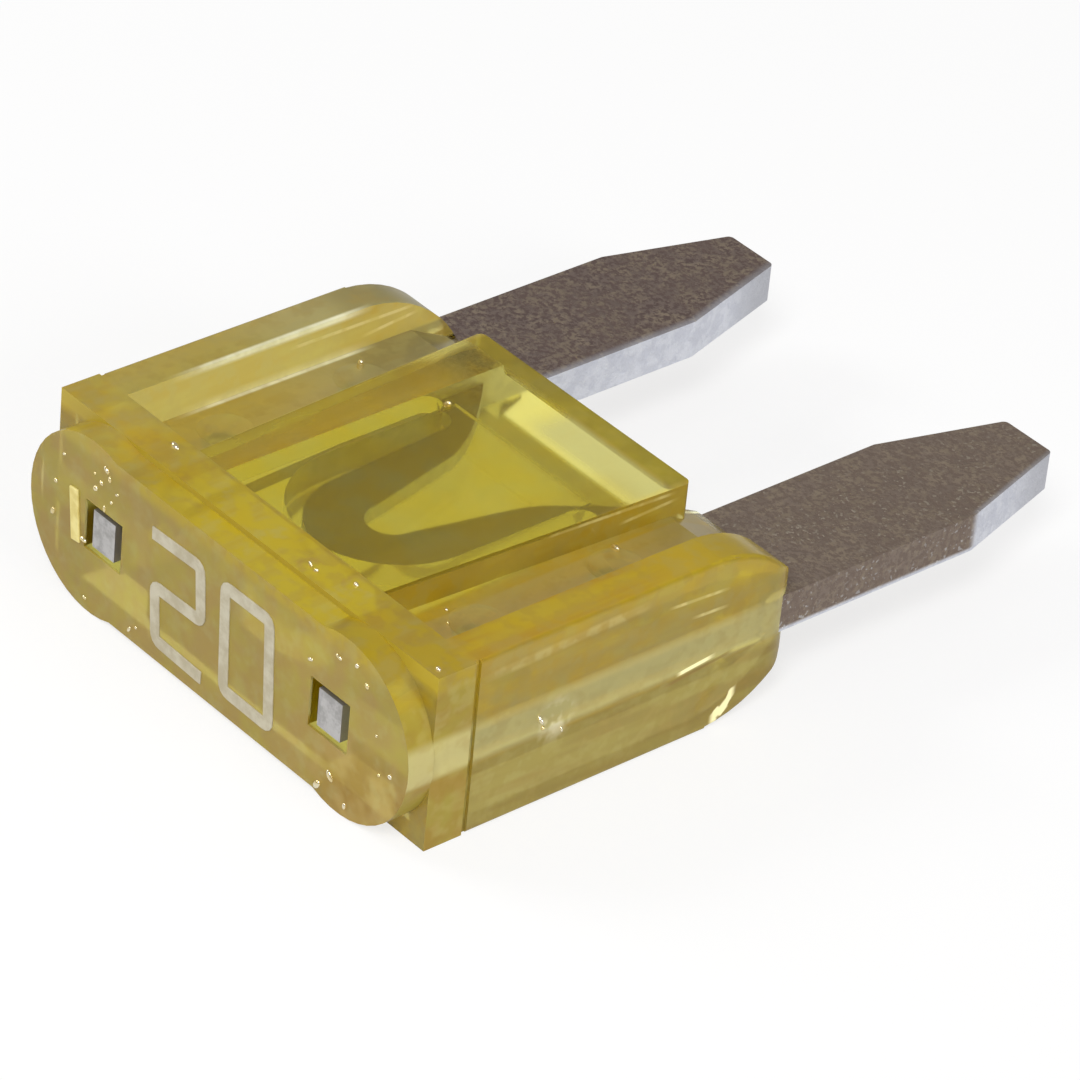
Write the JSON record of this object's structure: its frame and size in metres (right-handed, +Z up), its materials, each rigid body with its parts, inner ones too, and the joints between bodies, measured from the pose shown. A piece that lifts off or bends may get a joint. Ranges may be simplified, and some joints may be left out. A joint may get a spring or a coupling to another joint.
{
  "type": "automotive blade fuse",
  "caption": "Small automotive blade fuse: clear yellow moulded housing with round-lobed head over a stamped metal element with flat tapered blades and a U-shaped link.",
  "frame": {"origin": "centre of the footprint, on the surface that the fuse lies on", "axes": "+Y along the blades from the head to the tips, +X across the two blades, +Z up through the thickness"},
  "size_m": [0.011, 0.0164, 0.0037],
  "materials": {
    "clear_plastic": "gloss",
    "plated_metal": "satin",
    "white_ink": "matte"
  },
  "bodies": {
    "root": {"housing": "clear_plastic", "fuse_element": "plated_metal"}
  },
  "joints": []
}
